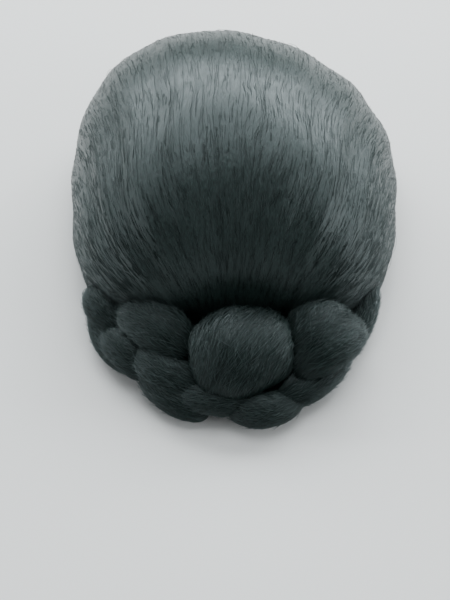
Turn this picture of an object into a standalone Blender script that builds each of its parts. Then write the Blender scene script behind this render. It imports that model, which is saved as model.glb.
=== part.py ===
"""Top knot hairpiece, standing on its rim: a padded dome of combed hair over a net cap, drawn
together low at the back above a knot of coiled locks.

Lengths in the tables and constants are millimetres, measured from the middle of the dome:
x to the wearer's right, y to the front, z up from the rim. new_object turns them into metres
and moves the middle of the whole piece over the origin.
"""

import math
from collections import namedtuple

import bmesh
import bpy
from mathutils import Vector

METRES = 0.001
PIECE_MIDDLE = (0.0, -34.9)  # middle of the whole piece, from the middle of the dome
GAP = 0.35

# Dome of hair: outer form
DOME_HALF_WIDTH = 94.0
DOME_FRONT = 88.0
DOME_BACK = 100.0
DOME_MIDDLE = 20.0  # height where it bulges widest
DOME_RISE = 88.0
DOME_WRAP = math.radians(110)  # from the top round to the hair's lower edge
DOME_LEAN = 11.5  # how far the crown leans to the left at the front
LEAN_FORWARD = 0.82
LEAN_UPWARD = 0.57
ROUND_PLAN = 2.1
SQUARE_PLAN = 3.7
HAIR_EDGE = 2.5  # height of the hair's lower edge

# Combed strands, from the gather to the rim
GATHER = -0.85
GATHER_HALF_WIDTH = 0.25
GATHER_HALF_HEIGHT = 0.07
STRAND_BOW = -0.08
STRAND_LEAN = 0.085  # keeps the strands straight where the crown leans
COMB_LOCKS = 18
COMB_DEPTH = 1.6
PINCH_MIDDLE = -0.73
PINCH_DEPTH = 5.0
PINCH_REACH = 0.24
DOME_COLUMNS = 72
DOME_ROWS = 14

# Hollow for the head
HOLLOW_HALF_WIDTH = 80.0
HOLLOW_FRONT = 76.0
HOLLOW_BACK = 84.0
HOLLOW_SPRING = 12.5  # the wall is upright below this height
HOLLOW_RISE = 74.0
HOLLOW_ROWS = 7

NET_THICKNESS = 1.6
NET_COLUMNS = 36
BAND_THICKNESS = 3.0
BAND_COLUMNS = 48

Comb = namedtuple("Comb", "name direction")
COMBS = (
    Comb("front_comb", math.radians(90)),
    Comb("back_comb", math.radians(-90)),
)
COMB_TEETH = 9
COMB_PITCH = 5.2
TOOTH_WIDTH = 2.2
COMB_SPINE_HEIGHT = 6.0
COMB_BOTTOM = 14.0
TOOTH_LENGTH = 20.0
TOOTH_STEPS = 2
COMB_THICKNESS = 1.5
COMB_CLEARANCE = 0.95  # from the net's true curve, which its flat faces fall inside

# Locks of the knot, the topmost first: each is cut back where it passes under those above it.
# start, middle and end are on the line through the lock, and taper is how much wider than its
# half width it is at the start.
Lock = namedtuple("Lock", "name start middle end half_width half_height roundness taper")
LOCKS = (
    Lock("centre_lock", (2, -101, 25), (5, -121, 27), (9, -133, 11), 28, 15, 4.0, -0.03),
    Lock("right_lock", (57, -96, 23), (46, -112, 26), (32, -126, 9), 21, 14, 2.6, 0.25),
    Lock("left_lock", (-58, -84, 22), (-42, -103, 25), (-23, -119, 18), 15, 12, 2.6, 0.1),
    Lock("crescent_lock", (-50, -108, 17), (-35, -127, 15), (-6, -138, 9), 12, 10, 2.4, 0.15),
    Lock("left_upper_lock", (-77, -74, 22), (-70, -90, 18), (-56, -102, 13), 10, 10, 2.4, 0.1),
    Lock("left_outer_lock", (-68, -97, 15), (-56, -114, 13), (-38, -124, 9), 11, 10, 2.4, 0.1),
    Lock("right_lower_lock", (60, -108, 11), (43, -130, 11), (20, -143, 8), 9, 9, 2.4, 0.2),
    Lock("lower_centre_lock", (-31, -135, 12), (-10, -142, 12), (16, -140, 10), 9, 9, 2.4, 0.1),
    Lock("lower_left_lock", (-47, -118, 11), (-36, -137, 9), (-14, -148, 6), 9, 9, 2.4, 0.1),
    Lock("lower_right_lock", (-4, -142, 9), (15, -148, 9), (36, -136, 8), 9, 9, 2.4, -0.1),
    Lock("left_edge_lock", (-75, -80, 14), (-69, -104, 10), (-51, -120, 7), 8, 9, 2.4, 0.0),
    Lock("right_edge_lock", (74, -70, 20), (69, -91, 14), (58, -110, 8), 9, 9, 2.4, 0.0),
)
KNOT_CORE = Lock("knot_core", (-66, -82, 6), (5, -113, 8), (66, -82, 6), 25, 12, 2.4, 0.0)
LOCK_RINGS = 10
WIDE_LOCK = 20
WIDE_LOCK_SIDES = 20
LOCK_SIDES = 14
SIDES_PER_RIB = 4
PLUG_GROWTH = 1.8  # in gaps, outward from the middle, which is aslant to some of the surface
RIB_DEPTH = 0.035
GROUND_SIZE = 600.0


def plan_radius(direction, half_width, front, back):
    """Distance from the middle to a plan outline that is squarer at the back."""
    across = math.cos(direction)
    forward = math.sin(direction)
    length = front if forward > 0 else back
    power = ROUND_PLAN + (SQUARE_PLAN - ROUND_PLAN) * max(0.0, -forward)
    total = abs(across / half_width) ** power + abs(forward / length) ** power
    return total ** (-1 / power)


def dome_point(u, v):
    """Point of the dome for a point of the unit disc, whose edge is the hair's lower edge."""
    direction = math.atan2(v, u)
    angle = min(1.0, math.hypot(u, v)) * DOME_WRAP
    radius = plan_radius(direction, DOME_HALF_WIDTH, DOME_FRONT, DOME_BACK) * math.sin(angle)
    drop = (DOME_MIDDLE - HAIR_EDGE) / -math.cos(DOME_WRAP)
    rise = DOME_RISE if angle < math.pi / 2 else drop
    height = rise * math.cos(angle)
    x = radius * math.cos(direction)
    y = radius * math.sin(direction)
    forward = LEAN_FORWARD * y / DOME_FRONT + LEAN_UPWARD * height / DOME_RISE
    return Vector((x - DOME_LEAN * max(0.0, forward) ** 2, y, DOME_MIDDLE + height))


def combed_point(turn, along, grow=0.0):
    """Point of the hair's surface on a strand: along is 0 at the gather and 1 at the rim."""
    bow = STRAND_BOW * 4 * along * (1 - along)
    u = (along + GATHER_HALF_WIDTH * (1 - along) + bow) * math.cos(turn)
    v = GATHER * (1 - along) + (along + GATHER_HALF_HEIGHT * (1 - along)) * math.sin(turn)
    angle = v * DOME_WRAP
    forward = max(0.0, LEAN_FORWARD * math.sin(angle) + LEAN_UPWARD * math.cos(angle))
    u += STRAND_LEAN * forward**2 * (1 - u**2 - v**2)
    point = dome_point(u, v)
    middle = Vector((0, 0, DOME_MIDDLE))
    depth = COMB_DEPTH * (0.4 + 0.6 * abs(math.cos(turn))) * math.sin(math.pi * along)
    groove = depth * 0.5 * (1 + math.cos(COMB_LOCKS * turn))
    pinch = PINCH_DEPTH * math.exp(-((math.hypot(u, v - PINCH_MIDDLE) / PINCH_REACH) ** 2))
    outward = (point - middle).normalized()
    return point + outward * (grow - groove - pinch)


def hollow_point(turn, angle, inset=0.0):
    """Point of the hollow's wall: angle is 0 at the top and 90 degrees at its upright part."""
    radius = plan_radius(
        turn, HOLLOW_HALF_WIDTH - inset, HOLLOW_FRONT - inset, HOLLOW_BACK - inset
    )
    across = radius * math.sin(angle)
    height = HOLLOW_SPRING + (HOLLOW_RISE - inset) * math.cos(angle)
    return Vector((across * math.cos(turn), across * math.sin(turn), height))


def at_height(point, height):
    return Vector((point.x, point.y, height))


def turns(count):
    return [2 * math.pi * k / count for k in range(count)]


def steps(count):
    return [k / count for k in range(1, count + 1)]


def new_object(name, bm, material):
    """Object from a bmesh in millimetres, in metres over the origin, with its faces outward."""
    offset = Vector((-PIECE_MIDDLE[0], -PIECE_MIDDLE[1], 0))
    for vert in bm.verts:
        vert.co = (vert.co + offset) * METRES
    bmesh.ops.recalc_face_normals(bm, faces=bm.faces)
    mesh = bpy.data.meshes.new(name)
    bm.to_mesh(mesh)
    bm.free()
    mesh.materials.append(material)
    mesh.shade_smooth()
    mesh.set_sharp_from_angle(angle=math.radians(40))
    obj = bpy.data.objects.new(name, mesh)
    bpy.context.scene.collection.objects.link(obj)
    return obj


def skin_rings(rings, first=None, last=None, ring_shaped=False):
    """bmesh through rings of equal length, with a pole at each end or joined end to end."""
    bm = bmesh.new()
    rows = [[bm.verts.new(point) for point in ring] for ring in rings]
    pairs = list(zip(rows, rows[1:]))
    if ring_shaped:
        pairs.append((rows[-1], rows[0]))
    for lower, upper in pairs:
        for k, vert in enumerate(lower):
            after = (k + 1) % len(lower)
            bm.faces.new((vert, lower[after], upper[after], upper[k]))
    for pole, row in ((first, rows[0]), (last, rows[-1])):
        if pole is None:
            continue
        tip = bm.verts.new(pole)
        for k, vert in enumerate(row):
            bm.faces.new((tip, vert, row[(k + 1) % len(row)]))
    return bm


def outer_rings(grow=0.0):
    return [
        [combed_point(turn, along, grow) for turn in turns(DOME_COLUMNS)]
        for along in steps(DOME_ROWS)
    ]


def gather_point(grow=0.0):
    """Middle of the gather, where the strands' ends meet."""
    ends = [combed_point(side * math.pi / 2, 0.0, grow) for side in (-1, 1)]
    return (ends[0] + ends[1]) / 2


def dome_hair():
    """The padded wall of hair, hollow below for the head."""
    rings = outer_rings()
    rings.append([at_height(hollow_point(turn, math.pi / 2), HAIR_EDGE) for turn in turns(DOME_COLUMNS)])
    for step in range(HOLLOW_ROWS):
        angle = math.pi / 2 * (1 - step / HOLLOW_ROWS)
        rings.append([hollow_point(turn, angle) for turn in turns(DOME_COLUMNS)])
    return skin_rings(rings, first=gather_point(), last=hollow_point(0.0, 0.0))


def dome_plug():
    """The dome without its hollow, a little larger, carried down past the rim."""
    grow = GAP * PLUG_GROWTH
    rings = outer_rings(grow)
    rings.append([at_height(point, -HOLLOW_SPRING) for point in rings[-1]])
    return skin_rings(rings, first=gather_point(grow), last=(0, 0, -HOLLOW_SPRING))


def cap_net():
    """The cap inside the hair, down to the band."""
    outer = GAP
    inner = GAP + NET_THICKNESS
    angles = [math.pi / 2 * step for step in steps(HOLLOW_ROWS)]
    rings = [[hollow_point(turn, angle, outer) for turn in turns(NET_COLUMNS)] for angle in angles]
    for angle in reversed(angles):
        rings.append([hollow_point(turn, angle, inner) for turn in turns(NET_COLUMNS)])
    return skin_rings(
        rings, first=hollow_point(0.0, 0.0, outer), last=hollow_point(0.0, 0.0, inner)
    )


def edge_band():
    """The band round the rim, on which the piece stands."""
    top = HOLLOW_SPRING - GAP
    edges = ((GAP, 0), (GAP, top), (GAP + BAND_THICKNESS, top), (GAP + BAND_THICKNESS, 0))
    rings = [
        [at_height(hollow_point(turn, math.pi / 2, inset), height) for turn in turns(BAND_COLUMNS)]
        for inset, height in edges
    ]
    return skin_rings(rings, ring_shaped=True)


def comb_grid_point(direction, across, height):
    """Point against the inside of the net, a distance across from the comb's middle."""
    inset = GAP + NET_THICKNESS + COMB_CLEARANCE + COMB_THICKNESS
    angle = math.acos((height - HOLLOW_SPRING) / (HOLLOW_RISE - inset))
    middle = hollow_point(direction, math.pi / 2, inset)
    turn = direction + across / math.hypot(middle.x, middle.y)
    return hollow_point(turn, angle, inset)


def comb(direction):
    """A comb whose teeth run up along the net."""
    bm = bmesh.new()
    width = (COMB_TEETH - 1) * COMB_PITCH + TOOTH_WIDTH
    edges = []
    for k in range(COMB_TEETH):
        start = k * COMB_PITCH - width / 2
        edges += [start, start + TOOTH_WIDTH]
    shoulder = COMB_BOTTOM + COMB_SPINE_HEIGHT
    rows = [
        [bm.verts.new(comb_grid_point(direction, edge, height)) for edge in edges]
        for height in (COMB_BOTTOM, shoulder)
    ]
    for k in range(len(edges) - 1):
        bm.faces.new((rows[0][k], rows[0][k + 1], rows[1][k + 1], rows[1][k]))
    for k in range(0, len(edges), 2):
        pair = rows[1][k : k + 2]
        for step in steps(TOOTH_STEPS):
            height = shoulder + TOOTH_LENGTH * step
            above = [
                bm.verts.new(comb_grid_point(direction, edge, height)) for edge in edges[k : k + 2]
            ]
            bm.faces.new((pair[0], pair[1], above[1], above[0]))
            pair = above
    bmesh.ops.recalc_face_normals(bm, faces=bm.faces)
    middle = Vector((0, 0, HOLLOW_SPRING))
    face = next(iter(bm.faces))
    if face.normal.dot(face.calc_center_median() - middle) > 0:
        bmesh.ops.reverse_faces(bm, faces=bm.faces)
    bmesh.ops.solidify(bm, geom=bm.faces[:], thickness=COMB_THICKNESS)
    return bm


def ground():
    """Everything below the height of the rim."""
    bm = bmesh.new()
    bmesh.ops.create_cube(bm, size=GROUND_SIZE)
    bmesh.ops.translate(bm, verts=bm.verts, vec=(0, 0, -GROUND_SIZE / 2))
    return bm


def lock(row, grow=0.0):
    """A lock swept along a curve through its three points, rounded off at both ends."""
    start = Vector(row.start)
    end = Vector(row.end)
    pull = 2 * Vector(row.middle) - (start + end) / 2
    sides = WIDE_LOCK_SIDES if row.half_width >= WIDE_LOCK else LOCK_SIDES

    def on_line(share):
        return start * (1 - share) ** 2 + pull * 2 * share * (1 - share) + end * share**2

    reach = (end - start).length / 2
    rings = []
    for k in range(1, LOCK_RINGS + 1):
        swing = math.cos(math.pi * (1 - k / (LOCK_RINGS + 1)))
        share = (1 + swing * (1 + grow / reach)) / 2
        size = (1 - abs(swing) ** row.roundness) ** (1 / row.roundness)
        along = (on_line(share + 0.01) - on_line(share - 0.01)).normalized()
        side = along.cross(Vector((0, 0, 1))).normalized()
        up = side.cross(along)
        half_width = row.half_width * (1 + row.taper * (1 - 2 * share))
        ring = []
        for turn in turns(sides):
            rib = 1 + RIB_DEPTH * math.cos(sides // SIDES_PER_RIB * turn)
            across = side * math.cos(turn) * (half_width * rib * size + grow)
            above = up * math.sin(turn) * (row.half_height * rib * size + grow)
            ring.append(on_line(share) + across + above)
        rings.append(ring)
    over = grow / reach / 2
    return skin_rings(rings, first=on_line(-over), last=on_line(1 + over))


def keep_largest_body(mesh):
    """Delete the crumbs that a cut leaves beside a mesh's largest body."""
    bm = bmesh.new()
    bm.from_mesh(mesh)
    left = set(bm.faces)
    bodies = []
    while left:
        seed = left.pop()
        body = [seed]
        front = [seed]
        while front:
            for edge in front.pop().edges:
                for face in edge.link_faces:
                    if face in left:
                        left.remove(face)
                        body.append(face)
                        front.append(face)
        bodies.append(body)
    bodies.sort(key=len)
    crumbs = [face for body in bodies[:-1] for face in body]
    bmesh.ops.delete(bm, geom=crumbs, context="FACES")
    bm.to_mesh(mesh)
    bm.free()


def cut(obj, room):
    """Cut an object back by all that is in a collection and keep its largest body."""
    modifier = obj.modifiers.new("room", "BOOLEAN")
    modifier.operation = "DIFFERENCE"
    modifier.operand_type = "COLLECTION"
    modifier.collection = room
    graph = bpy.context.evaluated_depsgraph_get()
    mesh = bpy.data.meshes.new_from_object(obj.evaluated_get(graph))
    obj.modifiers.clear()
    obj.data = mesh
    keep_largest_body(mesh)


def add_cutter(room, name, bm, material):
    obj = new_object(name, bm, material)
    obj.hide_render = True
    obj.display_type = "WIRE"
    bpy.context.scene.collection.objects.unlink(obj)
    room.objects.link(obj)


def new_material(name, colour, roughness):
    made = bpy.data.materials.new(name)
    made.use_nodes = True
    shader = made.node_tree.nodes["Principled BSDF"]
    shader.inputs["Base Color"].default_value = (*colour, 1)
    shader.inputs["Roughness"].default_value = roughness
    return made


def build():
    for obj in list(bpy.data.objects):
        bpy.data.objects.remove(obj, do_unlink=True)
    hair = new_material("black_hair", (0.016, 0.022, 0.024), 0.38)
    net = new_material("net", (0.02, 0.02, 0.02), 0.8)
    elastic = new_material("elastic", (0.015, 0.015, 0.015), 0.7)
    plastic = new_material("comb_plastic", (0.012, 0.012, 0.012), 0.35)

    new_object("dome_hair", dome_hair(), hair)
    new_object("cap_net", cap_net(), net)
    new_object("edge_band", edge_band(), elastic)
    for row in COMBS:
        new_object(row.name, comb(row.direction), plastic)

    room = bpy.data.collections.new("room_of_neighbours")
    bpy.context.scene.collection.children.link(room)
    add_cutter(room, "dome_plug", dome_plug(), hair)
    add_cutter(room, "ground", ground(), hair)
    for row in (KNOT_CORE, *LOCKS):
        cut(new_object(row.name, lock(row), hair), room)
        add_cutter(room, row.name + "_room", lock(row, GAP), hair)
    for obj in list(room.objects):
        bpy.data.objects.remove(obj, do_unlink=True)
    bpy.data.collections.remove(room)


build()
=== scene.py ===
"""Top knot hairpiece dressed for rendering: combed strands over the padded dome, coiled locks,
net cap, elastic band and combs, on a pale floor under soft studio light.

Lengths of the hairpiece are millimetres, measured from the middle of the dome, as in the part's
own source, and new_piece turns them into metres in the shared frame. The studio is in metres.
A strand on the dome is placed by its turn round the gather and by its share of the way from the
gather to the rim. A point on a lock is placed by its turn round the lock and by its swing, from
-1 at the lock's start to 1 at its end.
"""

import math
from collections import namedtuple

import bpy
import numpy as np
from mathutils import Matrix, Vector
from mathutils.bvhtree import BVHTree


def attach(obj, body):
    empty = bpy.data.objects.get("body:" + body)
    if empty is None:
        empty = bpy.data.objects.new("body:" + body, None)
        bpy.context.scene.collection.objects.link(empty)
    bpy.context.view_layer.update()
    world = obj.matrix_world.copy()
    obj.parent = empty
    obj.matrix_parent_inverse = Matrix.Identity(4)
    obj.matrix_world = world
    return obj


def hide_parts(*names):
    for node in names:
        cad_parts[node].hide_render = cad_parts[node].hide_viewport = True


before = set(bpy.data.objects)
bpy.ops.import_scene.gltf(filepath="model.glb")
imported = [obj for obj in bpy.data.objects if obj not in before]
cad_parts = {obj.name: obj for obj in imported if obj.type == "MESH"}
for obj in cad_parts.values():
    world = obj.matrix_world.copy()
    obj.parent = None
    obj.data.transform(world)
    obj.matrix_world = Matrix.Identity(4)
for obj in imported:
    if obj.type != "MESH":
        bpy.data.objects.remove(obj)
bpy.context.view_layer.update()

METRES = 0.001
PIECE_MIDDLE = (0.0, -34.9, 0.0)  # the shared frame's origin, in this script's millimetres
BODY = "root"
FULL_TURN = 2 * math.pi

# The dome's outer form
DOME_HALF_WIDTH = 94.0
DOME_FRONT = 88.0
DOME_BACK = 100.0
DOME_MIDDLE = 20.0
DOME_RISE = 88.0
DOME_WRAP = math.radians(110)
DOME_LEAN = 11.5
LEAN_FORWARD = 0.82
LEAN_UPWARD = 0.57
ROUND_PLAN = 2.1
SQUARE_PLAN = 3.7
HAIR_EDGE = 2.5
GATHER = -0.85
GATHER_HALF_WIDTH = 0.25
GATHER_HALF_HEIGHT = 0.07
STRAND_BOW = -0.08
STRAND_LEAN = 0.085
FURROWS = 18
FURROW_DEPTH = 1.6
FURROW_LEAST = 0.4  # share of the depth at the dome's middle line
PINCH_MIDDLE = -0.73
PINCH_DEPTH = 5.0
PINCH_REACH = 0.24

# The hollow for the head
HOLLOW_HALF_WIDTH = 80.0
HOLLOW_FRONT = 76.0
HOLLOW_BACK = 84.0
HOLLOW_SPRING = 12.5
HOLLOW_RISE = 74.0
HOLLOW_ROWS = 8
HOLLOW_SHARES = (1.02, 1.3)  # the hollow's wall goes on beyond the rim, whose share is 1
GAP = 0.35

# Combed surface: how many ridges go round it, how often each changes on its way to the rim, and
# how high they stand
DOME_COLUMNS = 960
DOME_ROWS = 86
Ridges = namedtuple("Ridges", "across along height")
DOME_RIDGES = (
    Ridges(36, 3, 0.4),
    Ridges(150, 14, 0.12),
    Ridges(420, 60, 0.12),
)
DOME_RIDGE_SEED = 11
DOME_RIDGE_FADE = 0.35
DOME_RIDGE_ENDS = 0.02  # share at each end within which the ridges fade no further

# Values that kinds of loose strands share
STRAND_SIDES = 3
STRAND_MARK_WIDTH = 0.0004  # share of a full turn that a strand takes up in its material
STRAND_TIP = 0.35  # thickness at the ends, as a share of that in the middle
STRAND_SUNK = 0.3  # depth of the ends in the surface
STRAND_FULLNESS = 0.6  # below 1, a strand's arch is fuller
STRAND_CLEARANCE = 0.3  # above the floor

# Loose strands on the dome, in two layers whose lift is the highest that a strand may stand.
# Starts and lengths are shares of the way to the rim, and a drift is in radians.
Layer = namedtuple("Layer", "name seed lift radius")
DOME_LAYERS = (
    Layer("dome_strands_lower", 21, 0.2, 0.17),
    Layer("dome_strands_upper", 22, 0.36, 0.15),
)
DOME_STRANDS = 8000
DOME_STRAND_STEPS = 4
DOME_STRAND_CROWDING = 0.7  # below 1, more strands start near the rim
DOME_STRAND_LENGTHS = (0.02, 0.08)
DOME_STRAND_LAST_START = 0.96
DOME_STRAND_DRIFT = 0.014
DOME_STRAND_LIFTS = (0.1, 1.0)
DOME_STRAND_THICKNESSES = (0.7, 1.3)

# Long fine hairs that stand a little off the dome
FLYAWAY_SEED = 31
FLYAWAYS = 220
FLYAWAY_STEPS = 14
FLYAWAY_STARTS = (0.05, 0.6)
FLYAWAY_LENGTHS = (0.15, 0.38)
FLYAWAY_DRIFT = 0.06
FLYAWAY_SWAY = 0.015
FLYAWAY_LIFTS = (0.6, 1.7)
FLYAWAY_FULLNESS = 0.7
FLYAWAY_RADII = (0.08, 0.13)

# Locks of the knot. start, middle and end are on the line through the lock, roundness is how
# blunt its ends are, taper is how much wider it is at the start, and twist is how far, in
# radians, the strands wind round it along its length.
Lock = namedtuple("Lock", "name start middle end half_width half_height roundness taper twist")
LOCKS = (
    Lock("centre_lock", (2, -101, 25), (5, -121, 27), (9, -133, 11), 28, 15, 4.0, -0.03, -2.0),
    Lock("right_lock", (57, -96, 23), (46, -112, 26), (32, -126, 9), 21, 14, 2.6, 0.25, -0.8),
    Lock("left_lock", (-58, -84, 22), (-42, -103, 25), (-23, -119, 18), 15, 12, 2.6, 0.1, 0.6),
    Lock("crescent_lock", (-50, -108, 17), (-35, -127, 15), (-6, -138, 9), 12, 10, 2.4, 0.15, 0.3),
    Lock("left_upper_lock", (-77, -74, 22), (-70, -90, 18), (-56, -102, 13), 10, 10, 2.4, 0.1, 0.3),
    Lock("left_outer_lock", (-68, -97, 15), (-56, -114, 13), (-38, -124, 9), 11, 10, 2.4, 0.1, 0.3),
    Lock("right_lower_lock", (60, -108, 11), (43, -130, 11), (20, -143, 8), 9, 9, 2.4, 0.2, 0.2),
    Lock("lower_centre_lock", (-31, -135, 12), (-10, -142, 12), (16, -140, 10), 9, 9, 2.4, 0.1, 0.2),
    Lock("lower_left_lock", (-47, -118, 11), (-36, -137, 9), (-14, -148, 6), 9, 9, 2.4, 0.1, 0.2),
    Lock("lower_right_lock", (-4, -142, 9), (15, -148, 9), (36, -136, 8), 9, 9, 2.4, -0.1, 0.2),
    Lock("left_edge_lock", (-75, -80, 14), (-69, -104, 10), (-51, -120, 7), 8, 9, 2.4, 0.0, 0.2),
    Lock("right_edge_lock", (74, -70, 20), (69, -91, 14), (58, -110, 8), 9, 9, 2.4, 0.0, 0.2),
    Lock("knot_core", (-66, -82, 6), (5, -113, 8), (66, -82, 6), 25, 12, 2.4, 0.0, 0.0),
)
LOCK_ROWS = 48
COLUMN_WIDTH = 0.9
SKIN_CLEARANCE = 0.1  # above the floor
WIDE_LOCK = 20
RIBS_OF_WIDE = 5
RIBS_OF_NARROW = 3
RIB_DEPTH = 0.035
LOCK_RIDGES = ((6.0, 2, 0.45), (2.4, 5, 0.16), (1.2, 12, 0.12))  # width, changes along, height
LEAST_RIDGES = 6
CUT_DEPTH = 1.2  # a lock's skin is drawn in where it stands further than this off its node
STRAY_DEPTH = 3.0  # strands that stand further than this off the node are left out
RIDGE_SEED_STEP = 7
STRAND_SEED_STEP = 13

# Strands wound round the locks. A density is the number of strands for each square millimetre
# of a lock's length times the sum of its half_width and half_height. Starts and lengths are in
# swing, drifts in radians, and the rest in millimetres.
LOCK_STRAND_STEPS = 5
LOCK_STRAND_DENSITY = 0.6
LOCK_STRAND_ENDS = 0.97
LOCK_STRAND_LAST_START = 0.8
LOCK_STRAND_LENGTHS = (0.15, 0.5)
LOCK_STRAND_DRIFT = 0.14
LOCK_STRAND_LIFTS = (0.35, 0.85)
LOCK_STRAND_RADII = (0.1, 0.18)

# Short fuzz on the upper sides of the locks. It leans towards their starts, and stands up more
# there. Its lengths are in millimetres.
FUZZ_DENSITY = 1.0
FUZZ_OVERHANG = 0.5  # how far past its upper half the fuzz goes round a lock, in radians
FUZZ_TURN_CROWDING = 0.8
FUZZ_SWING_CROWDING = 0.6
FUZZ_LAST_START = 0.8
FUZZ_END = 0.985
FUZZ_LENGTHS = (3.0, 8.0)
FUZZ_DRIFT = 0.2
FUZZ_TIPS = (0.4, 2.0)
FUZZ_HIGHER_TIPS = (0.0, 2.4)
FUZZ_RISE_START = 0.1
FUZZ_RISE = 0.6
FUZZ_BEND = 1.5
FUZZ_RADII = (0.11, 0.2)
FUZZ_THINNING = 0.75

# Thin wisps of strands that come loose from the knot or cross between its locks
Wisp = namedtuple("Wisp", "start middle end spread strands")
WISPS = (
    Wisp((-28, -137, 20), (-17, -147, 13), (0, -149, 11), 1.6, 20),
    Wisp((-46, -121, 22), (-37, -134, 21), (-22, -141, 15), 2.0, 22),
    Wisp((50, -117, 21), (41, -128, 19), (26, -138, 15), 2.0, 22),
    Wisp((38, -122, 22), (33, -131, 19), (24, -139, 16), 2.2, 26),
    Wisp((-77, -80, 25), (-72, -96, 19), (-60, -111, 13), 1.8, 18),
    Wisp((-60, -93, 25), (-51, -107, 26), (-36, -121, 22), 2.0, 20),
    Wisp((74, -74, 26), (70, -92, 20), (60, -108, 14), 1.8, 18),
)
WISP_SEED = 41
WISP_STEPS = 12
WISP_FLATNESS = (1.0, 1.0, 0.35)
WISP_END_SPREAD = 0.35
WISP_SCATTER_PART = 2
WISP_SWAY_PART = 5
WISP_RADII = (0.12, 0.2)
WISP_TIP = 0.3
WISP_SHARE = 0.3  # place along a lock whose painted specular level the wisps take
WISPS_FACE_AWAY_FROM = (0.0, -70.0, -20.0)

# Cap and band
NET_THICKNESS = 1.6
CAP_COLUMNS = 200
CAP_ROWS = 40
CAP_OUTER_STEP = 5  # the cap's hidden outer side keeps every fifth row and the last
STITCH_WAVES = 9  # each gives two rows of stitching
STITCH_HEIGHT = 0.35
STITCH_SHARPNESS = 8
BAND_THICKNESS = 3.0
BAND_COLUMNS = 320
BAND_RIBS = 5
BAND_RIB_STEPS = 4
BAND_RIB_HEIGHT = 0.12
CREASE_ANGLE = 50

# Hair materials. Each row has its streaks round a full turn and along a strand, its anisotropy,
# its tone factor, which scales the two tones and is painted light (below 1 on the lock skins as
# painted shading, above 1 on the fuzz as painted light on lit tips), its roughness, and its
# specular level where the share along a strand is at the ramp's start share or less and where it
# is reach or more. This ramp is painted light too: low near the dome's gather as painted shading
# on the lower dome by the knot, high at a lock's start as a painted highlight on its upper edge.
HAIR_DARK = (0.0035, 0.0070, 0.0062)
HAIR_LIGHT = (0.018, 0.032, 0.029)
HAIR_INDEX = 1.55
HAIR_SHINE_TINT = (0.88, 0.97, 1.0)
PAINTED_SHINE_START = 0.02
ROUGHNESS_SPREAD = 0.14
FINE_DETAIL = 3.0
BROAD_DETAIL = 1.0
BROADER_ACROSS = 5
BROADER_ALONG = 2
RELIEF = 0.0003  # metres, of the hair and of the woven materials
HAIR_RELIEF_STRENGTH = 0.8
Hair = namedtuple("Hair", "name across along anisotropy shade roughness first_shine last_shine reach")
# Each row's specular level ramps along its strands as painted light: the dome's and strands' rise
# from low at the gather, painted shading by the knot; the locks' and fuzz's fall from high at the
# lock's start, a painted highlight on its upper edge.
DOME_HAIR = Hair("dome_hair_black", 760, 130, 0.4, 1.0, 0.38, 0.16, 0.5, 0.3)
STRAND_HAIR = Hair("strand_hair_black", 2600, 20, 0.2, 1.0, 0.38, 0.16, 0.5, 0.3)
# The lock skins' tone factor below 1 is painted shading, and the fuzz's above 1 is painted light on
# lit tips.
LOCK_HAIR = Hair("lock_hair_black", 140, 12, 0.35, 0.6, 0.42, 0.22, 0.16, 0.7)
FUZZ_HAIR = Hair("fuzz_hair_black", 1500, 4, 0.2, 1.7, 0.32, 1.0, 0.45, 0.8)

# Woven and moulded materials. across and along say how close a weave's threads lie.
Weave = namedtuple("Weave", "name dark light roughness across along")
NET = Weave("net_black", (0.012, 0.012, 0.012), (0.03, 0.03, 0.03), 0.8, 1500, 400)
ELASTIC = Weave("elastic_black", (0.01, 0.01, 0.01), (0.03, 0.03, 0.03), 0.7, 1200, 60)
WEAVE_DISTORTION = 0.3
WEAVE_RELIEF_STRENGTH = 0.7
PLASTIC_DARK = (0.01, 0.01, 0.01)
PLASTIC_LIGHT = (0.018, 0.018, 0.018)
PLASTIC_GRAIN = 900.0
PLASTIC_ROUGHNESS = 0.35
PLASTIC_ROUGHNESS_SPREAD = 0.07

# Studio
FLOOR_REACH = 6.0
FLOOR_COLOUR = (0.74, 0.74, 0.735)
FLOOR_ROUGHNESS = 0.75
FLOOR_CLOUDS = 6.0
FLOOR_LIGHTER = 1.02
COOL_WHITE = (0.93, 0.985, 1.0)
SIDE_WHITE = (0.94, 0.985, 1.0)
LIGHT_AIM = (0.0, 0.0, 0.05)
Light = namedtuple("Light", "name place size power colour")
LIGHTS = (
    Light("back_soft_light", (0.05, 1.15, 1.05), (2.6, 0.6), 55, COOL_WHITE),
    Light("back_left_light", (-1.1, 0.9, 0.6), (0.8, 0.8), 8, COOL_WHITE),
    Light("back_right_light", (1.1, 0.9, 0.6), (0.8, 0.8), 10, COOL_WHITE),
    Light("top_soft_light", (0.0, 0.4, 1.65), (1.2, 1.0), 16, COOL_WHITE),
    Light("left_soft_light", (-1.35, -0.4, 0.5), (1.3, 0.8), 7, SIDE_WHITE),
    Light("right_soft_light", (1.35, -0.35, 0.5), (1.3, 0.8), 13.5, SIDE_WHITE),
)
WORLD_COLOUR = (0.95, 0.98, 1.0)
WORLD_STRENGTH = 0.18

# Camera: its place and aim, its sensor in millimetres, its focal length and picture in pixels
EYE = (-0.005265, -0.645090, 0.873997)
EYE_AIM = (-0.005265, -0.014160, -0.027070)
SENSOR = 36.0
FOCAL_PIXELS = 1880.34
PICTURE_WIDTH = 450


# Geometry helpers


def plan_radius(direction, half_width, front, back):
    """Distance from the middle to a plan outline that is squarer at the back."""
    across = np.cos(direction)
    forward = np.sin(direction)
    length = np.where(forward > 0, front, back)
    power = ROUND_PLAN + (SQUARE_PLAN - ROUND_PLAN) * np.maximum(0.0, -forward)
    total = np.abs(across / half_width) ** power + np.abs(forward / length) ** power
    return total ** (-1 / power)


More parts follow.
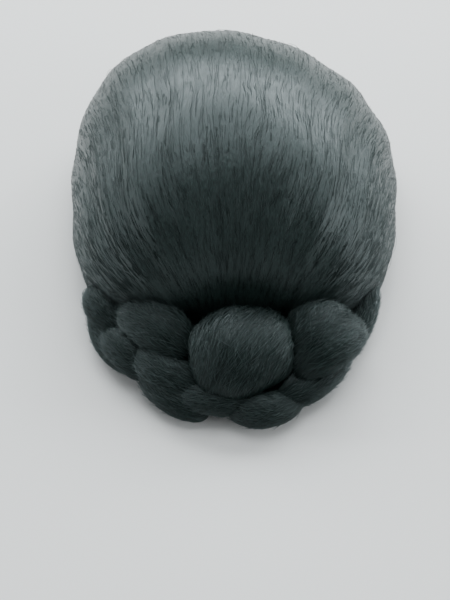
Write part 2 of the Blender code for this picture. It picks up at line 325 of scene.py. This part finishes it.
def dome_point(u, v):
    """Points of the dome for points of the unit disc, whose edge is the hair's lower edge."""
    direction = np.arctan2(v, u)
    angle = np.minimum(1.0, np.hypot(u, v)) * DOME_WRAP
    radius = plan_radius(direction, DOME_HALF_WIDTH, DOME_FRONT, DOME_BACK) * np.sin(angle)
    drop = (DOME_MIDDLE - HAIR_EDGE) / -math.cos(DOME_WRAP)
    height = np.where(angle < math.pi / 2, DOME_RISE, drop) * np.cos(angle)
    x = radius * np.cos(direction)
    y = radius * np.sin(direction)
    forward = np.maximum(0.0, LEAN_FORWARD * y / DOME_FRONT + LEAN_UPWARD * height / DOME_RISE)
    return np.stack((x - DOME_LEAN * forward**2, y, DOME_MIDDLE + height), -1)


def unit(vectors):
    return vectors / np.linalg.norm(vectors, axis=-1, keepdims=True)


def outward_of(points):
    """Directions from the dome's middle to points on or in the dome."""
    return unit(points - np.array((0.0, 0.0, DOME_MIDDLE)))


def combed_point(turn, along, grow=0.0):
    """Points on strands: along is 0 at the gather and 1 at the rim."""
    bow = STRAND_BOW * 4 * along * (1 - along)
    u = (along + GATHER_HALF_WIDTH * (1 - along) + bow) * np.cos(turn)
    v = GATHER * (1 - along) + (along + GATHER_HALF_HEIGHT * (1 - along)) * np.sin(turn)
    angle = v * DOME_WRAP
    forward = np.maximum(0.0, LEAN_FORWARD * np.sin(angle) + LEAN_UPWARD * np.cos(angle))
    u = u + STRAND_LEAN * forward**2 * (1 - u**2 - v**2)
    point = dome_point(u, v)
    sideways = FURROW_LEAST + (1 - FURROW_LEAST) * np.abs(np.cos(turn))
    depth = FURROW_DEPTH * sideways * np.sin(math.pi * along)
    furrow = depth * 0.5 * (1 + np.cos(FURROWS * turn))
    pinch = PINCH_DEPTH * np.exp(-((np.hypot(u, v - PINCH_MIDDLE) / PINCH_REACH) ** 2))
    return point + outward_of(point) * (grow - furrow - pinch)[..., None]


def hollow_point(turn, angle, inset=0.0):
    """Points of the hollow's wall: angle is 0 at the top and 90 degrees at its upright part."""
    radius = plan_radius(
        turn, HOLLOW_HALF_WIDTH - inset, HOLLOW_FRONT - inset, HOLLOW_BACK - inset
    )
    across = radius * np.sin(angle)
    height = HOLLOW_SPRING + (HOLLOW_RISE - inset) * np.cos(angle) + 0 * across
    return np.stack((across * np.cos(turn), across * np.sin(turn), height), -1)


def bent_line(row, share):
    """Points on the bent line from a row's start over its middle to its end, and its slopes."""
    start, middle, end = (np.array(point, float) for point in (row.start, row.middle, row.end))
    pull = 2 * middle - (start + end) / 2
    point = start * (1 - share) ** 2 + pull * 2 * share * (1 - share) + end * share**2
    slope = 2 * (pull - start) * (1 - share) + 2 * (end - pull) * share
    return point, slope


def full_turn(columns):
    """Turns of the columns that go once round."""
    return np.arange(columns) * FULL_TURN / columns


def stretch(low, high, step):
    """Values from low to high for each strand, at the steps along it."""
    return low[:, None] + (high - low)[:, None] * step


def thinned(arch, tip):
    """Share of a strand's thickness: tip at its ends and 1 in its middle."""
    return tip + (1 - tip) * arch


def smooth_noise(rng, share_round, share_along, across, along):
    """Smooth values from -1 to 1 on a lattice that joins up round the turn."""
    lattice = rng.uniform(-1, 1, (along + 2, across))
    x = np.mod(share_round, 1.0) * across
    y = np.clip(share_along, 0.0, 1.0) * along
    column = np.floor(x).astype(int)
    row = np.floor(y).astype(int)
    fx = x - column
    fy = y - row
    fx = fx * fx * (3 - 2 * fx)
    fy = fy * fy * (3 - 2 * fy)
    after = (column + 1) % across
    column = column % across
    lower = lattice[row, column] * (1 - fx) + lattice[row, after] * fx
    upper = lattice[row + 1, column] * (1 - fx) + lattice[row + 1, after] * fx
    return lower * (1 - fy) + upper * fy


# Meshes


def grid_quads(rows, columns):
    """Quads of a grid whose last column joins its first, and the corners' places in the grid."""
    row, column = np.meshgrid(np.arange(rows - 1), np.arange(columns), indexing="ij")
    corners = ((0, 0), (0, 1), (1, 1), (1, 0))
    quads = np.stack([(row + r) * columns + (column + c) % columns for r, c in corners], -1)
    places = np.stack([np.stack((column + c, row + r), -1) for r, c in corners], -2)
    return quads.reshape(-1, 4), places.reshape(-1, 4, 2)


def signed_volume(points, faces):
    """Six times the volume inside the faces, below zero where they face inwards."""
    first = points[faces[:, 0]]
    total = 0.0
    for k in range(1, faces.shape[1] - 1):
        edges = np.cross(points[faces[:, k]], points[faces[:, k + 1]])
        total += float((first * edges).sum())
    return total


def new_piece(name, points, faces, uvs, material, sharp=None):
    """Smooth piece that rides with the object; faces and uvs are lists of equal-sided arrays."""
    if sum(signed_volume(points, group) for group in faces) < 0:
        faces = [group[:, ::-1] for group in faces]
        uvs = [group[:, ::-1] for group in uvs]
    mesh = bpy.data.meshes.new(name)
    mesh.vertices.add(len(points))
    placed = (points - np.array(PIECE_MIDDLE)) * METRES
    mesh.vertices.foreach_set("co", placed.astype(np.float32).ravel())
    corners = np.concatenate([group.ravel() for group in faces]).astype(np.int32)
    sizes = np.concatenate([np.full(len(group), group.shape[1]) for group in faces])
    starts = np.concatenate(([0], np.cumsum(sizes)[:-1])).astype(np.int32)
    mesh.loops.add(len(corners))
    mesh.loops.foreach_set("vertex_index", corners)
    mesh.polygons.add(len(starts))
    mesh.polygons.foreach_set("loop_start", starts)
    mesh.update(calc_edges=True)
    layer = mesh.uv_layers.new(name="strands")
    flat = np.concatenate([group.reshape(-1, 2) for group in uvs]).astype(np.float32)
    layer.data.foreach_set("uv", flat.ravel())
    mesh.shade_smooth()
    if sharp is not None:
        mesh.set_sharp_from_angle(angle=math.radians(sharp))
    mesh.materials.append(material)
    piece = bpy.data.objects.new(name, mesh)
    bpy.context.scene.collection.objects.link(piece)
    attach(piece, BODY)
    return piece


def skin(name, rings, shares, material, first=None, last=None, ring_shaped=False, sharp=None):
    """Closed piece through rings of points (rows, columns, 3). It has a pole at each end, or else
    its last ring joins its first."""
    if ring_shaped:
        rings = np.concatenate((rings, rings[:1]))
        shares = np.append(shares, shares[-1])
    rows, columns = rings.shape[:2]
    quads, places = grid_quads(rows, columns)
    if ring_shaped:
        rings = rings[:-1]
        quads = quads % ((rows - 1) * columns)
    points = [rings.reshape(-1, 3)]
    faces = [quads]
    uvs = [np.stack((places[..., 0] / columns, shares[places[..., 1]]), -1)]
    count = len(points[0])
    column = np.arange(columns)
    after = (column + 1) % columns
    for pole, row in ((first, 0), (last, rows - 1)):
        if pole is None:
            continue
        points.append(np.reshape(pole, (1, 3)))
        tip = np.full(columns, count)
        start = row * columns
        pair = (start + after, start + column) if row == 0 else (start + column, start + after)
        faces.append(np.stack((tip, *pair), -1))
        mid = np.full(columns, shares[row])
        sides = (column + 1, column) if row == 0 else (column, column + 1)
        corners = [(column + 0.5, mid), (sides[0], mid), (sides[1], mid)]
        uvs.append(np.stack([np.stack((u / columns, v), -1) for u, v in corners], -2))
        count += 1
    return new_piece(name, np.concatenate(points), faces, uvs, material, sharp)


def strand_piece(name, paths, outward, radii, marks, shares, material):
    """One piece of many closed thin strands along paths (strands, steps, 3)."""
    count, steps = paths.shape[:2]
    tangent = np.gradient(paths, axis=1)
    side = unit(np.cross(tangent, outward))
    up = unit(np.cross(side, tangent))
    turn = full_turn(STRAND_SIDES) + math.pi / 2
    ring = np.cos(turn)[:, None] * side[:, :, None] + np.sin(turn)[:, None] * up[:, :, None]
    points = paths[:, :, None] + ring * radii[..., None, None]
    quads, places = grid_quads(steps, STRAND_SIDES)
    size = steps * STRAND_SIDES
    offsets = (np.arange(count) * size)[:, None, None]
    sides = (quads[None] + offsets).reshape(-1, 4)
    across = marks[:, None, None] + places[None, ..., 0] * STRAND_MARK_WIDTH
    along = shares[:, places[..., 1]]
    side_uvs = np.stack((across, along), -1).reshape(-1, 4, 2)
    rim = np.arange(STRAND_SIDES)
    ends = np.stack((rim[::-1], size - STRAND_SIDES + rim))
    caps = (ends[None] + offsets).reshape(-1, STRAND_SIDES)
    cap_uvs = np.zeros((*caps.shape, 2))
    cap_uvs[..., 0] = np.repeat(marks, 2)[:, None]
    cap_uvs[..., 1] = shares[:, (0, -1)].reshape(-1, 1)
    return new_piece(name, points.reshape(-1, 3), [sides, caps], [side_uvs, cap_uvs], material)


# Materials


def shader_of(material):
    return material.node_tree.nodes["Principled BSDF"]


def new_material(name, colour, roughness):
    material = bpy.data.materials.new(name)
    material.use_nodes = True
    shader = shader_of(material)
    shader.inputs["Base Color"].default_value = (*colour, 1)
    shader.inputs["Roughness"].default_value = roughness
    return material


def add_noise(tree, vector, scale=1.0, detail=2.0):
    noise = tree.nodes.new("ShaderNodeTexNoise")
    noise.inputs["Scale"].default_value = scale
    noise.inputs["Detail"].default_value = detail
    tree.links.new(vector, noise.inputs["Vector"])
    return noise.outputs["Fac"]


def add_range(tree, value, low, high, from_low=0.3, from_high=0.7):
    made = tree.nodes.new("ShaderNodeMapRange")
    made.inputs["From Min"].default_value = from_low
    made.inputs["From Max"].default_value = from_high
    made.inputs["To Min"].default_value = low
    made.inputs["To Max"].default_value = high
    tree.links.new(value, made.inputs["Value"])
    return made.outputs["Result"]


def add_mix(tree, factor, dark, light):
    mix = tree.nodes.new("ShaderNodeMix")
    mix.data_type = "RGBA"
    mix.inputs["A"].default_value = (*dark, 1)
    mix.inputs["B"].default_value = (*light, 1)
    tree.links.new(factor, mix.inputs["Factor"])
    return mix.outputs["Result"]


def add_bump(tree, height, strength):
    bump = tree.nodes.new("ShaderNodeBump")
    bump.inputs["Distance"].default_value = RELIEF
    bump.inputs["Strength"].default_value = strength
    tree.links.new(height, bump.inputs["Height"])
    return bump.outputs["Normal"]


def strand_coordinates(tree, across, along):
    """Strand coordinates stretched so that a texture's features run along the strands."""
    source = tree.nodes.new("ShaderNodeUVMap")
    source.uv_map = "strands"
    mapping = tree.nodes.new("ShaderNodeMapping")
    mapping.inputs["Scale"].default_value = (across, along, 1)
    tree.links.new(source.outputs["UV"], mapping.inputs["Vector"])
    return mapping.outputs["Vector"]


def hair_material(row):
    """Black hair: streaks of tone, gloss and relief that follow the strands, with painted light
    in the row's tone factor and in a specular level that ramps along the strands.
    """
    material = new_material(row.name, HAIR_DARK, row.roughness)
    tree = material.node_tree
    shader = shader_of(material)
    shader.inputs["Anisotropic"].default_value = row.anisotropy
    shader.inputs["IOR"].default_value = HAIR_INDEX
    shader.inputs["Specular Tint"].default_value = (*HAIR_SHINE_TINT, 1)
    # The tone factor scales both tones as painted light: darker lock skins as painted shading,
    # lighter fuzz as painted light on lit tips.
    dark = tuple(row.shade * c for c in HAIR_DARK)
    light = tuple(row.shade * c for c in HAIR_LIGHT)
    split = tree.nodes.new("ShaderNodeSeparateXYZ")
    tree.links.new(strand_coordinates(tree, 1, 1), split.inputs["Vector"])
    share = split.outputs["Y"]
    # The specular level ramps along the strand as painted light: low near the dome's gather as
    # painted shading, high at a lock's start as a painted highlight.
    painted_shine = add_range(tree, share, row.first_shine, row.last_shine, PAINTED_SHINE_START, row.reach)
    tree.links.new(painted_shine, shader.inputs["Specular IOR Level"])
    narrow = strand_coordinates(tree, row.across, row.along)
    wide = strand_coordinates(tree, row.across / BROADER_ACROSS, row.along / BROADER_ALONG)
    fine = add_noise(tree, narrow, detail=FINE_DETAIL)
    broad = add_noise(tree, wide, detail=BROAD_DETAIL)
    colour = add_mix(tree, add_range(tree, fine, 0, 1), dark, light)
    tree.links.new(colour, shader.inputs["Base Color"])
    rough = add_range(tree, broad, row.roughness, row.roughness + ROUGHNESS_SPREAD)
    tree.links.new(rough, shader.inputs["Roughness"])
    tree.links.new(add_bump(tree, fine, HAIR_RELIEF_STRENGTH), shader.inputs["Normal"])
    tangent = tree.nodes.new("ShaderNodeTangent")
    tangent.direction_type = "UV_MAP"
    tangent.uv_map = "strands"
    tree.links.new(tangent.outputs["Tangent"], shader.inputs["Tangent"])
    return material


def weave_material(row):
    """Matt woven stuff with a relief of crossing threads."""
    material = new_material(row.name, row.dark, row.roughness)
    tree = material.node_tree
    shader = shader_of(material)
    coordinates = strand_coordinates(tree, row.across, row.along)
    both = tree.nodes.new("ShaderNodeMath")
    both.operation = "MAXIMUM"
    for direction, value in zip(("X", "Y"), both.inputs):
        wave = tree.nodes.new("ShaderNodeTexWave")
        wave.bands_direction = direction
        wave.inputs["Scale"].default_value = 1.0
        wave.inputs["Distortion"].default_value = WEAVE_DISTORTION
        tree.links.new(coordinates, wave.inputs["Vector"])
        tree.links.new(wave.outputs["Fac"], value)
    threads = both.outputs["Value"]
    tree.links.new(add_mix(tree, threads, row.dark, row.light), shader.inputs["Base Color"])
    tree.links.new(add_bump(tree, threads, WEAVE_RELIEF_STRENGTH), shader.inputs["Normal"])
    return material


def plastic_material(name):
    """Moulded plastic, a little uneven in tone and gloss."""
    material = new_material(name, PLASTIC_DARK, PLASTIC_ROUGHNESS)
    tree = material.node_tree
    shader = shader_of(material)
    place = tree.nodes.new("ShaderNodeTexCoord").outputs["Object"]
    grain = add_noise(tree, place, PLASTIC_GRAIN)
    tree.links.new(add_mix(tree, grain, PLASTIC_DARK, PLASTIC_LIGHT), shader.inputs["Base Color"])
    smoothest = PLASTIC_ROUGHNESS - PLASTIC_ROUGHNESS_SPREAD
    roughest = PLASTIC_ROUGHNESS + PLASTIC_ROUGHNESS_SPREAD
    tree.links.new(add_range(tree, grain, smoothest, roughest), shader.inputs["Roughness"])
    return material


def floor_material(name):
    """Matt floor with faint clouds."""
    material = new_material(name, FLOOR_COLOUR, FLOOR_ROUGHNESS)
    tree = material.node_tree
    place = tree.nodes.new("ShaderNodeTexCoord").outputs["Object"]
    cloudy = add_noise(tree, place, FLOOR_CLOUDS)
    lighter = tuple(FLOOR_LIGHTER * c for c in FLOOR_COLOUR)
    colour = add_mix(tree, cloudy, FLOOR_COLOUR, lighter)
    tree.links.new(colour, shader_of(material).inputs["Base Color"])
    return material


# The dome


def dome_surface(turn, along, grow=0.0):
    """Points of the combed surface with its ridges of hair."""
    rng = np.random.default_rng(DOME_RIDGE_SEED)
    height = np.zeros(np.broadcast(turn, along).shape) + grow
    within = np.clip(along, DOME_RIDGE_ENDS, 1 - DOME_RIDGE_ENDS)
    fade = np.sin(math.pi * within) ** DOME_RIDGE_FADE
    for ridges in DOME_RIDGES:
        wave = smooth_noise(rng, turn / FULL_TURN, along, ridges.across, ridges.along)
        height = height + ridges.height * wave * fade
    return combed_point(turn, along, height)


def make_dome(material):
    """The padded wall of combed hair, open below for the head."""
    turn = full_turn(DOME_COLUMNS)[None, :]
    along = np.linspace(0, 1, DOME_ROWS + 1)[1:, None]
    outer = dome_surface(turn, along)
    lower = hollow_point(turn, math.pi / 2)
    lower[..., 2] = HAIR_EDGE
    angle = math.pi / 2 * (1 - np.arange(HOLLOW_ROWS) / HOLLOW_ROWS)[:, None]
    inner = hollow_point(turn, angle)
    rings = np.concatenate((outer, lower, inner))
    shares = np.concatenate((along[:, 0], np.linspace(*HOLLOW_SHARES, 1 + HOLLOW_ROWS)))
    ends = combed_point(np.array((-math.pi / 2, math.pi / 2)), np.zeros(2))
    first = ends.mean(0)
    last = hollow_point(np.zeros(1), np.zeros(1))
    piece = skin("combed_dome", rings, shares, material, first, last)
    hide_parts("dome_hair")


def make_dome_strands(row, material):
    """A layer of loose strands on the combed surface, whose ends sink into it."""
    rng = np.random.default_rng(row.seed)
    start = rng.uniform(0, FULL_TURN, DOME_STRANDS)
    low = rng.uniform(0.0, 1.0, DOME_STRANDS) ** DOME_STRAND_CROWDING
    high = low + rng.uniform(*DOME_STRAND_LENGTHS, DOME_STRANDS)
    step = np.linspace(0, 1, DOME_STRAND_STEPS)
    along = stretch(np.minimum(low, DOME_STRAND_LAST_START), np.minimum(high, 1.0), step)
    drift = rng.normal(0, DOME_STRAND_DRIFT, DOME_STRANDS)[:, None]
    turn = start[:, None] + drift * step
    arch = np.sin(math.pi * step)
    lift = rng.uniform(*DOME_STRAND_LIFTS, DOME_STRANDS)[:, None] * row.lift
    height = -STRAND_SUNK + (STRAND_SUNK + lift) * arch**STRAND_FULLNESS
    paths = dome_surface(turn, along, height)
    thickness = rng.uniform(*DOME_STRAND_THICKNESSES, DOME_STRANDS)[:, None] * row.radius
    radii = thickness * thinned(arch, STRAND_TIP)
    marks = start / FULL_TURN
    piece = strand_piece(row.name, paths, outward_of(paths), radii, marks, along, material)


def make_flyaways(material):
    """Long fine hairs that stand a little off the dome."""
    rng = np.random.default_rng(FLYAWAY_SEED)
    start = rng.uniform(0, FULL_TURN, FLYAWAYS)
    low = rng.uniform(*FLYAWAY_STARTS, FLYAWAYS)
    high = low + rng.uniform(*FLYAWAY_LENGTHS, FLYAWAYS)
    step = np.linspace(0, 1, FLYAWAY_STEPS)
    along = stretch(low, high, step)
    drift = rng.normal(0, FLYAWAY_DRIFT, FLYAWAYS)[:, None]
    sway = rng.normal(0, FLYAWAY_SWAY, FLYAWAYS)[:, None]
    turn = start[:, None] + drift * step + sway * np.sin(FULL_TURN * step)
    lift = rng.uniform(*FLYAWAY_LIFTS, FLYAWAYS)[:, None]
    height = -STRAND_SUNK + lift * np.sin(math.pi * step) ** FLYAWAY_FULLNESS
    paths = dome_surface(turn, along, height)
    radii = rng.uniform(*FLYAWAY_RADII, FLYAWAYS)[:, None] * np.ones(FLYAWAY_STEPS)
    marks = start / FULL_TURN
    piece = strand_piece("dome_flyaways", paths, outward_of(paths), radii, marks, along, material)


# The knot


def lock_surface(row, turn, swing, grow=0.0):
    """Points of a lock, and the way from its middle line out to them."""
    rng = np.random.default_rng(len(row.name) * RIDGE_SEED_STEP + int(row.half_width))
    share = (1 + swing) / 2
    size = np.maximum(0.0, 1 - np.abs(swing) ** row.roundness) ** (1 / row.roundness)
    strand = turn / FULL_TURN
    turn = turn + row.twist * share
    ribs = RIBS_OF_WIDE if row.half_width >= WIDE_LOCK else RIBS_OF_NARROW
    rib = 1 + RIB_DEPTH * np.cos(ribs * turn)
    around = math.pi * (row.half_width + row.half_height)
    relief = 0.0
    for width, changes, height in LOCK_RIDGES:
        ridges = max(LEAST_RIDGES, int(around / width))
        relief = relief + height * smooth_noise(rng, strand, share, ridges, changes)
    extra = (relief + grow) * np.sqrt(size)
    point, slope = bent_line(row, share[..., None])
    ahead = unit(slope)
    side = unit(np.cross(ahead, (0.0, 0.0, 1.0)))
    up = np.cross(side, ahead)
    half_width = row.half_width * (1 + row.taper * (1 - 2 * share))
    across = side * (np.cos(turn) * (half_width * rib * size + extra))[..., None]
    above = up * (np.sin(turn) * (row.half_height * rib * size + extra))[..., None]
    return point + across + above, across + above


def node_surface(name):
    """A node's own surface for searches, in the millimetres of this script."""
    mesh = bpy.data.objects[name].data
    middle = Vector(PIECE_MIDDLE)
    corners = [vert.co / METRES + middle for vert in mesh.vertices]
    return BVHTree.FromPolygons(corners, [tuple(face.vertices) for face in mesh.polygons])


def nearest_on_node(point, surface):
    """The node's nearest place, and how far outside it the point is, 0 for a point within."""
    place, normal, _, distance = surface.find_nearest(Vector(point))
    outside = (Vector(point) - place).dot(normal) > 0
    return place, distance if outside else 0.0


def cut_to_node(points, surface):
    """Draw in the points that stand where the node is cut back under its neighbours."""
    flat = points.reshape(-1, 3)
    for k, point in enumerate(flat):
        place, gap = nearest_on_node(point, surface)
        if gap > CUT_DEPTH:
            flat[k] = place
    return flat.reshape(points.shape)


def near_node(paths, surface):
    """Which strands stay near the node along their whole length."""
    near = []
    for path in paths:
        gaps = [nearest_on_node(point, surface)[1] for point in path]
        near.append(max(gaps) < STRAY_DEPTH)
    return np.array(near)


def make_lock_skin(row, surface, material):
    """A lock's own skin, cut back where it goes under its neighbours."""
    columns = int(math.pi * (row.half_width + row.half_height) / COLUMN_WIDTH)
    swing = np.cos(math.pi * (1 - np.arange(1, LOCK_ROWS + 1) / (LOCK_ROWS + 1)))
    rings, _ = lock_surface(row, full_turn(columns)[None, :], swing[:, None])
    rings = cut_to_node(rings, surface)
    rings[..., 2] = np.maximum(rings[..., 2], SKIN_CLEARANCE)
    ends, _ = bent_line(row, np.array(((0.0,), (1.0,))))
    ends = cut_to_node(ends, surface)
    return skin(row.name + "_hair", rings, (1 + swing) / 2, material, ends[0], ends[1])


def wound_strands(rng, count):
    """Turns, swings, heights and radii of strands that are wound round a lock."""
    step = np.linspace(0, 1, LOCK_STRAND_STEPS)
    arch = np.sin(math.pi * step)
    start = rng.uniform(0, FULL_TURN, count)
    low = rng.uniform(-LOCK_STRAND_ENDS, LOCK_STRAND_LAST_START, count)
    high = np.minimum(LOCK_STRAND_ENDS, low + rng.uniform(*LOCK_STRAND_LENGTHS, count))
    turns = start[:, None] + rng.normal(0, LOCK_STRAND_DRIFT, count)[:, None] * step
    lift = rng.uniform(*LOCK_STRAND_LIFTS, count)[:, None]
    heights = -STRAND_SUNK + lift * arch**STRAND_FULLNESS
    radii = rng.uniform(*LOCK_STRAND_RADII, count)[:, None] * thinned(arch, STRAND_TIP)
    return turns, stretch(low, high, step), heights, radii


def short_fuzz(rng, count, length):
    """Turns, swings, heights and radii of the fuzz on a lock."""
    step = np.linspace(0, 1, LOCK_STRAND_STEPS)
    sweep = math.pi + 2 * FUZZ_OVERHANG
    start = -FUZZ_OVERHANG + sweep * rng.uniform(0, 1, count) ** FUZZ_TURN_CROWDING
    span = LOCK_STRAND_ENDS + FUZZ_LAST_START
    low = LOCK_STRAND_ENDS - span * rng.uniform(0, 1, count) ** FUZZ_SWING_CROWDING
    reach = rng.uniform(*FUZZ_LENGTHS, count) * 2 / length
    swings = np.maximum(-FUZZ_END, low[:, None] - reach[:, None] * step)
    turns = start[:, None] + rng.normal(0, FUZZ_DRIFT, count)[:, None] * step
    rise = np.clip(-low - FUZZ_RISE_START, 0, FUZZ_RISE) / FUZZ_RISE
    tip = rng.uniform(*FUZZ_TIPS, count) + rise * rng.uniform(*FUZZ_HIGHER_TIPS, count)
    heights = -STRAND_SUNK + (STRAND_SUNK + tip[:, None]) * step**FUZZ_BEND
    radii = rng.uniform(*FUZZ_RADII, count)[:, None] * (1 - FUZZ_THINNING * step)
    return turns, swings, heights, radii


def make_lock_strands(row, surface, material):
    """Wound strands and fuzz of a lock, left out where the lock goes under its neighbours."""
    rng = np.random.default_rng(len(row.name) * STRAND_SEED_STEP + int(row.half_height))
    length = np.linalg.norm(np.subtract(row.end, row.start))
    size = (row.half_width + row.half_height) * length
    wound = wound_strands(rng, int(LOCK_STRAND_DENSITY * size))
    fuzz = short_fuzz(rng, int(FUZZ_DENSITY * size), length)
    turns, swings, heights, radii = (np.concatenate(pair) for pair in zip(wound, fuzz))
    paths, outward = lock_surface(row, turns, swings, heights)
    paths[..., 2] = np.maximum(paths[..., 2], STRAND_CLEARANCE)
    near = near_node(paths, surface)
    marks = np.mod(turns[:, 0] / FULL_TURN, 1.0)
    shares = (1 + swings) / 2
    kept = [values[near] for values in (paths, unit(outward), radii, marks, shares)]
    piece = strand_piece(row.name + "_strands", *kept, material)


def make_lock(row, material, strands_material):
    """A lock with its strands. The hidden core has none."""
    surface = node_surface(row.name)
    piece = make_lock_skin(row, surface, material)
    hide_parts(row.name)
    if row.name == "knot_core":
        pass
    else:
        make_lock_strands(row, surface, strands_material)


def make_wisps(material):
    """Thin wisps of strands, drawn together at both ends."""
    rng = np.random.default_rng(WISP_SEED)
    step = np.linspace(0, 1, WISP_STEPS)[:, None]
    arch = np.sin(math.pi * step)
    paths = []
    for row in WISPS:
        line, _ = bent_line(row, step)
        for _ in range(row.strands):
            offset = rng.normal(0, row.spread / WISP_SCATTER_PART, 3) * np.array(WISP_FLATNESS)
            sway = rng.normal(0, row.spread / WISP_SWAY_PART, 3)
            path = line + offset * (WISP_END_SPREAD + arch) + sway * np.sin(FULL_TURN * step)
            paths.append(path)
    paths = np.array(paths)
    paths[..., 2] = np.maximum(paths[..., 2], STRAND_CLEARANCE)
    outward = unit(paths - np.array(WISPS_FACE_AWAY_FROM))
    radii = rng.uniform(*WISP_RADII, len(paths))[:, None] * thinned(arch[:, 0], WISP_TIP)
    marks = rng.uniform(0, 1, len(paths))
    shares = np.full(radii.shape, WISP_SHARE)
    piece = strand_piece("knot_wisps", paths, outward, radii, marks, shares, material)


# Cap, band and combs


def make_cap(material):
    """The net cap, with the rows of stitching that carry the hair."""
    turn = full_turn(CAP_COLUMNS)[None, :]
    share = np.linspace(0, 1, CAP_ROWS + 1)[1:, None]
    outer = hollow_point(turn, share * math.pi / 2, GAP)
    inner = hollow_point(turn, share * math.pi / 2, GAP + NET_THICKNESS)
    welts = STITCH_HEIGHT * np.cos(FULL_TURN * share * STITCH_WAVES) ** STITCH_SHARPNESS
    inner = inner - outward_of(inner) * welts[..., None]
    rings = np.concatenate((outer[::CAP_OUTER_STEP], outer[-1:], inner[::-1]))
    share = share[:, 0]
    shares = np.concatenate((share[::CAP_OUTER_STEP], share[-1:], share[::-1]))
    first = hollow_point(np.zeros(1), np.zeros(1), GAP)
    last = hollow_point(np.zeros(1), np.zeros(1), GAP + NET_THICKNESS)
    piece = skin("net_cap", rings, shares, material, first, last, sharp=CREASE_ANGLE)
    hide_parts("cap_net")


def band_profile():
    """Inset and height of the points round the band's section, ribbed on both sides."""
    top = HOLLOW_SPRING - GAP
    side = []
    for share in np.linspace(0, 1, BAND_RIBS * BAND_RIB_STEPS + 1):
        dip = BAND_RIB_HEIGHT * (1 + math.cos(FULL_TURN * share * BAND_RIBS))
        side.append((dip, top * share))
    profile = [(GAP, 0.0)]
    profile += [(GAP + dip, height) for dip, height in side]
    profile += [(GAP, top), (GAP + BAND_THICKNESS, top)]
    profile += [(GAP + BAND_THICKNESS - dip, height) for dip, height in reversed(side)]
    profile.append((GAP + BAND_THICKNESS, 0.0))
    return profile


def make_band(material):
    """The elastic band round the rim, ribbed along its length."""
    rings = []
    for inset, height in band_profile():
        ring = hollow_point(full_turn(BAND_COLUMNS), math.pi / 2, inset)
        ring[:, 2] = height
        rings.append(ring)
    rings = np.array(rings)
    shares = np.linspace(0, 1, len(rings))
    piece = skin("elastic_band", rings, shares, material, ring_shaped=True, sharp=CREASE_ANGLE)
    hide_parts("edge_band")


def finish_combs(material):
    """The combs keep their own shapes and get their material."""
    for name in ("front_comb", "back_comb"):
        bpy.data.objects[name].material_slots[0].material = material


# Floor, lights and camera


def make_floor():
    mesh = bpy.data.meshes.new("floor")
    signs = ((-1, -1), (1, -1), (1, 1), (-1, 1))
    corners = [(x * FLOOR_REACH, y * FLOOR_REACH, 0) for x, y in signs]
    mesh.from_pydata(corners, [], [(0, 1, 2, 3)])
    mesh.materials.append(floor_material("pale_floor"))
    floor = bpy.data.objects.new("floor", mesh)
    bpy.context.scene.collection.objects.link(floor)


def add_aimed(obj, place, aim):
    """Put a light or camera in its place, turned towards its aim."""
    obj.location = place
    obj.rotation_mode = "QUATERNION"
    obj.rotation_quaternion = (Vector(aim) - Vector(place)).to_track_quat("-Z", "Y")
    bpy.context.scene.collection.objects.link(obj)


def make_lights():
    for row in LIGHTS:
        light = bpy.data.lights.new(row.name, "AREA")
        light.shape = "RECTANGLE"
        light.size, light.size_y = row.size
        light.energy = row.power
        light.color = row.colour
        add_aimed(bpy.data.objects.new(row.name, light), row.place, LIGHT_AIM)
    world = bpy.data.worlds.new("studio")
    world.use_nodes = True
    background = world.node_tree.nodes["Background"]
    background.inputs["Color"].default_value = (*WORLD_COLOUR, 1)
    background.inputs["Strength"].default_value = WORLD_STRENGTH
    bpy.context.scene.world = world


def make_camera():
    """The camera looks from behind and above, as in the photo."""
    data = bpy.data.cameras.new("camera")
    data.sensor_fit = "HORIZONTAL"
    data.sensor_width = SENSOR
    data.lens = FOCAL_PIXELS / PICTURE_WIDTH * SENSOR
    camera = bpy.data.objects.new("camera", data)
    add_aimed(camera, EYE, EYE_AIM)
    bpy.context.scene.camera = camera


make_camera()
make_lights()
make_floor()

dome_hair = hair_material(DOME_HAIR)
strand_hair = hair_material(STRAND_HAIR)
lock_hair = hair_material(LOCK_HAIR)
fuzz_hair = hair_material(FUZZ_HAIR)
make_dome(dome_hair)
for layer in DOME_LAYERS:
    make_dome_strands(layer, strand_hair)
make_flyaways(strand_hair)
for lock in LOCKS:
    make_lock(lock, lock_hair, fuzz_hair)
make_wisps(fuzz_hair)
make_cap(weave_material(NET))
make_band(weave_material(ELASTIC))
finish_combs(plastic_material("comb_black"))
